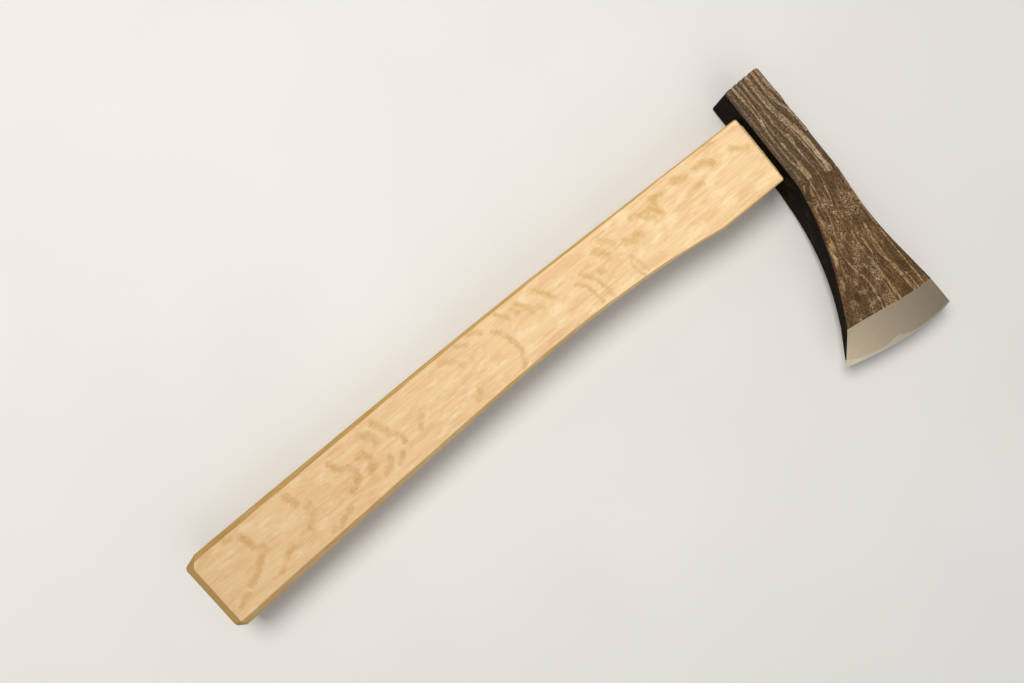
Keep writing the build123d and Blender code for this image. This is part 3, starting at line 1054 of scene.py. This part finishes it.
# ---- materials -------------------------------------------------------------------------
CHEEK_WIDTH = 28.0  # typical, for the scale of the grain
CHEEK_LENGTH = 136.0
RIM_HEIGHT = 0.62  # of a ridge, at which its shoulders catch the light and get a painted highlight
GROOVE_TONE = 0.12  # lightness of a groove, and what a ridge and its shoulders add, the shoulders' part being a painted highlight
PLATEAU_TONE = 0.45
RIM_HIGHLIGHT_TONE = 0.35
WORM_COLOUR = (0.46, 0.32, 0.18)  # light lines that wind over the blade
CHEEK_GRAIN_DEPTH = 0.3  # change of the cheek's grain with each millimetre of depth


class Value:
    """Output of a node, with which one can calculate as with a number."""

    def __init__(self, paint, socket):
        self.paint = paint
        self.socket = socket

    def __add__(self, other):
        return self.paint.math("ADD", self, other)

    def __sub__(self, other):
        return self.paint.math("SUBTRACT", self, other)

    def __rsub__(self, other):
        return self.paint.math("SUBTRACT", other, self)

    def __mul__(self, other):
        return self.paint.math("MULTIPLY", self, other)

    def __truediv__(self, other):
        return self.paint.math("DIVIDE", self, other)

    def __abs__(self):
        return self.paint.math("ABSOLUTE", self)


class Paint:
    """Node material with short ways to add what these surfaces need."""

    def __init__(self, name):
        self.material = bpy.data.materials.new(name)
        self.material.use_nodes = True
        self.tree = self.material.node_tree
        self.shader = self.tree.nodes["Principled BSDF"]
        scale = self.add("ShaderNodeVectorMath", operation="SCALE")
        self.tree.links.new(self.add("ShaderNodeTexCoord").outputs["Object"], scale.inputs[0])
        scale.inputs["Scale"].default_value = 1 / MM
        self.place = Value(self, scale.outputs[0])

    def add(self, kind, **settings):
        node = self.tree.nodes.new(kind)
        for key, value in settings.items():
            setattr(node, key, value)
        return node

    def feed(self, socket, value):
        """Link a value to a socket, or set a constant on it; a colour gets its alpha."""
        if isinstance(value, Value):
            self.tree.links.new(value.socket, socket)
        elif socket.type == "RGBA":
            socket.default_value = (*value, 1.0)
        else:
            socket.default_value = value

    def math(self, operation, first, second=0.0, clamp=False):
        node = self.add("ShaderNodeMath", operation=operation, use_clamp=clamp)
        self.feed(node.inputs[0], first)
        self.feed(node.inputs[1], second)
        return Value(self, node.outputs[0])

    def attribute(self, name):
        return Value(self, self.add("ShaderNodeAttribute", attribute_name=name).outputs["Fac"])

    def axis(self, name):
        node = self.add("ShaderNodeSeparateXYZ")
        self.feed(node.inputs[0], self.place)
        return Value(self, node.outputs[name])

    def stretched(self, x, y, z):
        """Place divided by these lengths, in millimetres."""
        node = self.add("ShaderNodeVectorMath", operation="MULTIPLY")
        self.feed(node.inputs[0], self.place)
        node.inputs[1].default_value = (1 / x, 1 / y, 1 / z)
        return Value(self, node.outputs[0])

    def on_cheek(self, across, along):
        """Place on a cheek that follows the outline's flare, divided by these lengths."""
        join = self.add("ShaderNodeCombineXYZ")
        self.feed(join.inputs[0], self.attribute("across") * (CHEEK_WIDTH / across))
        self.feed(join.inputs[1], self.attribute("along") * (CHEEK_LENGTH / along))
        self.feed(join.inputs[2], self.axis("Z") * CHEEK_GRAIN_DEPTH)
        return Value(self, join.outputs[0])

    def noise(self, place, detail=3.0, roughness=0.55, distortion=0.0):
        """Noise at a place, or of the given size along x, y and z."""
        node = self.add("ShaderNodeTexNoise")
        self.feed(node.inputs["Vector"], place if isinstance(place, Value) else self.stretched(*place))
        node.inputs["Scale"].default_value = 1.0
        node.inputs["Detail"].default_value = detail
        node.inputs["Roughness"].default_value = roughness
        node.inputs["Distortion"].default_value = distortion
        return Value(self, node.outputs["Fac"])

    def step(self, value, low, high, to_low=0.0, to_high=1.0):
        node = self.add("ShaderNodeMapRange", interpolation_type="SMOOTHSTEP")
        self.feed(node.inputs["Value"], value)
        node.inputs["From Min"].default_value = low
        node.inputs["From Max"].default_value = high
        node.inputs["To Min"].default_value = to_low
        node.inputs["To Max"].default_value = to_high
        return Value(self, node.outputs["Result"])

    def ramp(self, value, *stops):
        node = self.add("ShaderNodeValToRGB")
        self.feed(node.inputs["Fac"], value)
        while len(node.color_ramp.elements) < len(stops):
            node.color_ramp.elements.new(0.5)
        for element, (place, colour) in zip(node.color_ramp.elements, stops):
            element.position = place
            element.color = (*colour, 1.0)
        return Value(self, node.outputs["Color"])

    def mix(self, share, first, second, blend="MIX"):
        node = self.add("ShaderNodeMix", data_type="RGBA", blend_type=blend)
        self.feed(node.inputs[0], share)
        self.feed(node.inputs[6], first)
        self.feed(node.inputs[7], second)
        return Value(self, node.outputs[2])

    def bump(self, height, distance, strength=1.0, below=None):
        node = self.add("ShaderNodeBump")
        self.feed(node.inputs["Height"], height)
        node.inputs["Distance"].default_value = distance * MM
        node.inputs["Strength"].default_value = strength
        if below is not None:
            self.feed(node.inputs["Normal"], below)
        return Value(self, node.outputs[0])

    def finish(self, **inputs):
        names = {name.replace(" ", "_").lower(): name for name in self.shader.inputs.keys()}
        for key, value in inputs.items():
            self.feed(self.shader.inputs[names[key]], value)
        return self.material


def grain_tone(paint, speckle):
    """Lightness of the etched grain: light ridges with a painted highlight on their shoulders, dark
    grooves and knots, all broken up.
    """
    ridge = paint.attribute("ridge")
    fibre = paint.noise(paint.on_cheek(0.6, 8), detail=5, roughness=0.7, distortion=0.3)
    strand = paint.noise(paint.on_cheek(1.5, 16), detail=3, roughness=0.6, distortion=0.4)
    plateau = paint.step(ridge, 0.3, 0.75)
    # painted highlight along the ridges' shoulders
    rim = paint.step(abs(ridge - RIM_HEIGHT), 0.0, 0.22, 1.0, 0.0)
    tone = plateau * PLATEAU_TONE + rim * RIM_HIGHLIGHT_TONE + GROOVE_TONE
    for part, weight in ((fibre, 0.9), (strand, 1.1), (speckle, 2.5)):
        tone = tone + (part - 0.5) * weight
    return paint.math("SUBTRACT", tone, paint.attribute("knot") * 1.2, clamp=True)


def etched_colour(paint, tone, speckle, cloud, worm):
    """Brown of the cheeks, greyer and lighter by the poll, redder and darker by the edge."""
    along = paint.attribute("along")
    across = paint.attribute("across")
    near_poll = paint.ramp(
        tone,
        (0.0, (0.052, 0.034, 0.013)),
        (0.35, (0.135, 0.085, 0.038)),
        (0.7, (0.275, 0.182, 0.106)),
        (1.0, (0.44, 0.32, 0.205)),
    )
    near_edge = paint.ramp(
        tone,
        (0.0, (0.046, 0.023, 0.007)),
        (0.35, (0.108, 0.056, 0.018)),
        (0.7, (0.2, 0.115, 0.044)),
        (1.0, (0.38, 0.26, 0.135)),
    )
    turn = along + (cloud - 0.5) * 0.25
    colour = paint.mix(paint.step(turn, 0.3, 0.6), near_poll, near_edge)
    hue = paint.noise((1.7, 2.2, 1.7), detail=3, roughness=0.7)
    colour = paint.mix(paint.step(hue, 0.52, 0.68, 0.0, 0.3), colour, (0.19, 0.09, 0.052))
    handle_side = paint.step(across, 0.78, 0.86) * paint.step(along, 0.36, 0.5, 0.6, 0.0)
    mottle = paint.mix(paint.step(speckle, 0.36, 0.64), (0.036, 0.021, 0.011), (0.115, 0.07, 0.042))
    colour = paint.mix(handle_side, colour, mottle)
    return paint.mix(worm * 0.95, colour, WORM_COLOUR)


def ground_colour(paint, scratch):
    """Satin steel of the bevel, warmer and darker towards the side away from the handle: a painted shade
    that stands for the lamps' reflection fading towards the toe.
    """
    across = paint.attribute("across")
    # painted reflection: the bevel is painted lighter by the heel and darker towards the toe
    steel = paint.ramp(across, (0.1, (0.41, 0.335, 0.225)), (0.9, (0.53, 0.435, 0.31)))
    steel = paint.mix(paint.step(scratch, 0.3, 0.7, 0.0, 0.25), steel, (0.36, 0.30, 0.22))
    smear = paint.noise((5, 2.2, 4), detail=4, roughness=0.65, distortion=0.6)
    return paint.mix(paint.step(smear, 0.42, 0.66, 0.0, 0.35), steel, (0.44, 0.375, 0.285))


def layered_iron():
    """Etched layered iron on the cheeks and satin ground steel on the bevel."""
    paint = Paint("layered_iron")
    speckle = paint.noise((0.95, 1.15, 0.95), detail=4, roughness=0.8)
    cloud = paint.noise(paint.on_cheek(4, 10), detail=3)
    scratch = paint.noise((9, 0.16, 0.5), detail=3, roughness=0.6)
    tone = grain_tone(paint, speckle)
    worm = paint.math("MAXIMUM", worm_lines(paint, 1.9, 2.3, 0.05), worm_lines(paint, 3.6, 4.2, 0.03))
    worm = worm * worm_zone(paint, cloud)
    worm = paint.math("SUBTRACT", worm, paint.attribute("knot"), clamp=True)
    ground = paint.step(paint.attribute("ground") + speckle * 0.05, 0.02, 0.05)

    low = paint.bump(tone + worm * 0.6, 0.2, strength=0.8)
    fine = paint.bump(speckle, 0.15, strength=0.8, below=low)
    satin = paint.bump(scratch, 0.003, strength=0.5)
    normal = paint.add("ShaderNodeMix", data_type="VECTOR")
    paint.feed(normal.inputs[0], ground)
    paint.feed(normal.inputs[4], fine)
    paint.feed(normal.inputs[5], satin)
    etched = etched_colour(paint, tone, speckle, cloud, worm)
    return paint.finish(
        base_color=paint.mix(ground, etched, ground_colour(paint, scratch)),
        metallic=ground,
        roughness=paint.mix(ground, (0.6, 0.6, 0.6), (0.36, 0.36, 0.36)),
        specular_ior_level=0.2,
        normal=Value(paint, normal.outputs[1]),
    )


def worm_zone(paint, cloud):
    """Where the etched lines wind instead of running straight: on the blade, in patches."""
    along = paint.attribute("along")
    across = paint.attribute("across")
    zone = paint.step(along, 0.46, 0.56) * paint.step(across, 0.82, 0.94, 1.0, 0.0)
    handle_side = paint.step(across, 0.3, 0.5, 0.2, 1.0)
    zone = zone * paint.math("MAXIMUM", handle_side, paint.step(along, 0.6, 0.7, 1.0, 0.0))
    return zone * paint.step(cloud, 0.46, 0.58, 0.12, 1.0)


def worm_lines(paint, across, along, width):
    """Thin winding lines of the given spacing across and along, in millimetres."""
    level = paint.noise((across, along, across), detail=1.5, roughness=0.5, distortion=1.6)
    return paint.step(abs(level - 0.5), 0.0, width, 1.0, 0.0)


def forge_scale():
    """Dark scale with a dull gloss on the head's narrow sides, poll and eye."""
    paint = Paint("forge_scale")
    cloud = paint.noise((7, 9, 6), detail=4)
    skin = paint.noise((0.7, 1.0, 0.7), detail=5, roughness=0.65)
    grain = paint.noise((1.2, 14, 0.6), detail=4, distortion=0.4)
    colour = paint.ramp(
        cloud,
        (0.35, (0.004, 0.003, 0.0018)),
        (0.55, (0.009, 0.0062, 0.0035)),
        (0.7, (0.026, 0.016, 0.0085)),
    )
    colour = paint.mix(paint.step(grain, 0.55, 0.75, 0.0, 0.5), colour, (0.028, 0.018, 0.01))
    low = paint.bump(grain, 0.12, strength=0.5)
    fine = paint.bump(skin, 0.06, strength=0.5, below=low)
    return paint.finish(
        base_color=colour,
        roughness=paint.step(skin, 0.3, 0.7, 0.55, 0.75),
        specular_ior_level=0.025,
        normal=fine,
    )


def hard_steel():
    paint = Paint("hard_steel")
    scratch = paint.noise((9, 0.12, 0.5), detail=3, roughness=0.6)
    shade = paint.noise((8, 3, 3), detail=3)
    colour = paint.ramp(shade, (0.3, (0.54, 0.47, 0.36)), (0.7, (0.59, 0.52, 0.41)))
    colour = paint.mix(paint.step(scratch, 0.35, 0.7, 0.0, 0.2), colour, (0.45, 0.39, 0.3))
    return paint.finish(
        base_color=colour,
        metallic=1.0,
        roughness=paint.step(scratch, 0.3, 0.7, 0.3, 0.4),
        normal=paint.bump(scratch, 0.002, strength=0.5),
    )


def ray_flecks(paint, glow):
    """Ray flecks with frayed, uneven borders, and faint small ones between them."""
    fray = paint.noise((1.7, 0.8, 1.0), detail=4, roughness=0.75)
    soft = paint.noise((3.0, 2.2, 2.5), detail=3, roughness=0.6, distortion=0.9)
    fading = paint.noise((7, 5, 6), detail=2)
    inside = paint.attribute("fleck")
    cover = inside + soft * 1.6 + fray * 1.2
    marked = paint.step(cover, 1.3, 2.5) * paint.step(inside, 0.0, 0.5)
    marked = marked * paint.step(fading, 0.35, 0.62, 0.75, 1.35)
    small = paint.noise((2.8, 1.7, 2.5), detail=4, roughness=0.65, distortion=0.6)
    faint = paint.step(small, 0.54, 0.74) * paint.step(glow, 0.35, 0.55, 0.5, 0.1)
    return paint.math("MAXIMUM", marked, faint)


def oak():
    """Quarter-sawn oak planed bare, its grain along x and its ray flecks on the broad faces."""
    paint = Paint("oak")
    drift = paint.noise((60, 14, 30), detail=2)
    patch = paint.noise((17, 4.5, 8), detail=3, roughness=0.6, distortion=0.5)
    glow = paint.noise((12, 5, 8), detail=3, roughness=0.6)
    streak = paint.noise((16, 1.0, 7), detail=4, roughness=0.65, distortion=0.25)
    line = paint.noise((42, 0.75, 2.5), detail=5, roughness=0.75)
    pore = paint.noise((5.5, 0.25, 0.3), detail=2, roughness=0.5)
    colour = paint.ramp(
        line,
        (0.3, (0.68, 0.475, 0.24)),
        (0.5, (0.735, 0.53, 0.285)),
        (0.7, (0.775, 0.585, 0.335)),
    )
    colour = paint.mix(paint.step(patch, 0.46, 0.66, 0.0, 0.65), colour, (0.68, 0.42, 0.215))
    grained = paint.step(streak, 0.48, 0.64) * paint.step(drift, 0.42, 0.6, 0.15, 0.7)
    colour = paint.mix(grained, colour, (0.63, 0.38, 0.185))
    colour = paint.mix(paint.step(glow, 0.5, 0.7, 0.0, 0.5), colour, (0.86, 0.68, 0.44))
    pores = paint.step(pore, 0.62, 0.74)
    colour = paint.mix(pores * 0.25, colour, (0.42, 0.25, 0.1))

    fleck = ray_flecks(paint, glow)
    colour = paint.mix(fleck * 0.62, colour, (0.54, 0.33, 0.115))
    # painted shade on the narrow flats along the handle's corners
    flats = paint.attribute("facet") * paint.step(streak, 0.3, 0.7, 0.65, 1.0)
    colour = paint.mix(flats, colour, (0.425, 0.258, 0.06))
    # painted shade: the handle is painted darker from the head towards the butt, as the light falls off
    # along it
    butt_shade = paint.step(paint.axis("X"), -60, 480, 0.0, 0.88)
    colour = paint.mix(butt_shade, colour, (0.68, 0.625, 0.58), blend="MULTIPLY")
    across_grain = paint.mix(streak, (0.22, 0.12, 0.022), (0.38, 0.225, 0.058))
    colour = paint.mix(paint.attribute("cut") * 0.85, colour, across_grain)
    grain = paint.bump(line, 0.08, strength=0.4)
    normal = paint.bump(1.0 - pores, 0.05, strength=0.25, below=grain)
    rough = paint.step(line, 0.2, 0.8, 0.62, 0.5) - fleck * 0.1
    return paint.finish(base_color=colour, roughness=rough, specular_ior_level=0.25, normal=normal)


def end_grain(name, early, late, ring_width):
    """Wood cut across: growth rings stacked along y, rays running along y, open pores."""
    paint = Paint(name)
    bend = paint.noise((30, 18, 14), detail=2)
    uneven = paint.noise((30, 3.5, 40), detail=2)
    curve = paint.axis("Z") * paint.axis("Z")
    depth = paint.axis("Y") + curve * 0.006 + bend * 4.0 + uneven * 3.0
    phase = paint.math("FRACT", depth / ring_width)
    pore = paint.noise((6, 0.22, 0.22), detail=2, roughness=0.5)
    open_pores = paint.step(pore, 0.56, 0.66) * paint.step(phase, 0.1, 0.55, 1.0, 0.15)
    ray = paint.step(paint.noise((9, 11, 0.45), detail=3), 0.56, 0.66)
    colour = paint.ramp(phase, (0.0, late), (0.2, early), (0.6, early), (1.0, late))
    colour = paint.mix(ray * 0.45, colour, tuple(1.25 * part for part in early))
    colour = paint.mix(open_pores * 0.7, colour, tuple(0.35 * part for part in late))
    saw = paint.noise((5, 0.4, 3.0), detail=3)
    low = paint.bump(saw, 0.08, strength=0.4)
    normal = paint.bump(1.0 - open_pores, 0.1, strength=0.5, below=low)
    return paint.finish(base_color=colour, roughness=0.72, normal=normal)


def wedge_hardwood():
    paint = Paint("wedge_hardwood")
    line = paint.noise((20, 0.4, 0.8), detail=4, roughness=0.6)
    colour = paint.ramp(line, (0.3, (0.22, 0.12, 0.055)), (0.7, (0.36, 0.21, 0.1)))
    return paint.finish(base_color=colour, roughness=0.6, normal=paint.bump(line, 0.05, strength=0.5))


def struck_steel():
    """Dull mild steel, bruised where it was hammered in."""
    paint = Paint("struck_steel")
    dint = paint.noise((0.6, 0.6, 0.6), detail=4, roughness=0.6)
    stain = paint.noise((2.5, 1.5, 2.5), detail=3)
    colour = paint.ramp(stain, (0.35, (0.13, 0.115, 0.1)), (0.65, (0.33, 0.32, 0.3)))
    return paint.finish(
        base_color=colour,
        metallic=1.0,
        roughness=paint.step(dint, 0.3, 0.7, 0.32, 0.55),
        normal=paint.bump(dint, 0.08, strength=0.6),
    )


def paper():
    paint = Paint("floor_paper")
    tooth = paint.noise((1.2, 1.2, 1.2), detail=4)
    wash = paint.noise((160, 160, 160), detail=2)
    colour = paint.ramp(wash, (0.3, (0.60, 0.59, 0.57)), (0.7, (0.63, 0.62, 0.6)))
    return paint.finish(base_color=colour, roughness=0.85, normal=paint.bump(tooth, 0.05, strength=0.2))


# ---- stage -----------------------------------------------------------------------------
VIEW_ANGLE = math.radians(140.9)  # turn of the camera about z; it looks straight down
VIEW_RIGHT = Vector((math.cos(VIEW_ANGLE), math.sin(VIEW_ANGLE), 0))
VIEW_UP = Vector((-math.sin(VIEW_ANGLE), math.cos(VIEW_ANGLE), 0))
VIEW_CENTRE = Vector((0.1705, -0.00395, 0.0))
VIEW_HEIGHT = 0.435
SENSOR = 36.0
LENS = 28.76


def build_floor():
    reach = 4.0
    mesh = bpy.data.meshes.new("floor")
    corners = [(-reach, -reach, 0), (reach, -reach, 0), (reach, reach, 0), (-reach, reach, 0)]
    mesh.from_pydata(corners, [], [(0, 1, 2, 3)])
    mesh.materials.append(paper())
    floor = new_object("floor", mesh)
    floor.location.z = (HEAD_LOW.z - 0.05) * MM


def soft_light(name, place, size, watts, colour):
    data = bpy.data.lights.new(name, "AREA")
    data.shape = "DISK"
    data.size = size
    data.energy = watts
    data.color = colour
    lamp = new_object(name, data)
    lamp.location = place
    lamp.rotation_euler = (VIEW_CENTRE - Vector(place)).to_track_quat("-Z", "Y").to_euler()


def build_lights():
    """Soft lamp up left of the view, a wider and weaker one beyond the edge, and a pale sky."""
    key = VIEW_CENTRE - VIEW_RIGHT * 0.35 + VIEW_UP * 0.38 + Vector((0, 0, 1.15))
    side = Vector((0.3, 0.85, 1.0))
    soft_light("key", key, size=0.7, watts=15, colour=(1.0, 0.97, 0.92))
    soft_light("side", side, size=1.2, watts=4.2, colour=(1.0, 0.98, 0.95))
    world = bpy.data.worlds.new("studio")
    world.use_nodes = True
    sky = world.node_tree.nodes["Background"]
    sky.inputs["Color"].default_value = (0.95, 0.97, 1.0, 1.0)
    sky.inputs["Strength"].default_value = 0.38
    bpy.context.scene.world = world


def build_camera():
    data = bpy.data.cameras.new("camera")
    data.sensor_width = SENSOR
    data.lens = LENS
    data.clip_start = 0.01
    camera = new_object("camera", data)
    camera.location = VIEW_CENTRE + Vector((0, 0, VIEW_HEIGHT))
    camera.rotation_euler = (0, 0, VIEW_ANGLE)
    bpy.context.scene.camera = camera
    bpy.context.scene.view_settings.view_transform = "Standard"


# ---- the hatchet -----------------------------------------------------------------------
def place_piece(piece, node):
    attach(piece, "root")
    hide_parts(node)


oak_end = end_grain("oak_end", (0.47, 0.315, 0.15), (0.36, 0.225, 0.095), 2.6)
wedge_end = end_grain("wedge_end", (0.3, 0.17, 0.08), (0.2, 0.11, 0.05), 1.6)
scale = forge_scale()
head, head_parts = build_head([layered_iron(), scale])
place_piece(head, "head_body")
place_piece(build_edge(head_parts, [hard_steel(), scale]), "edge_steel")
place_piece(build_handle([oak(), oak_end]), "handle")
place_piece(build_wooden_wedge([wedge_hardwood(), wedge_end]), "wooden_wedge")
place_piece(build_steel_wedges([struck_steel(), struck_steel()]), "steel_wedges")
build_floor()
build_lights()
build_camera()
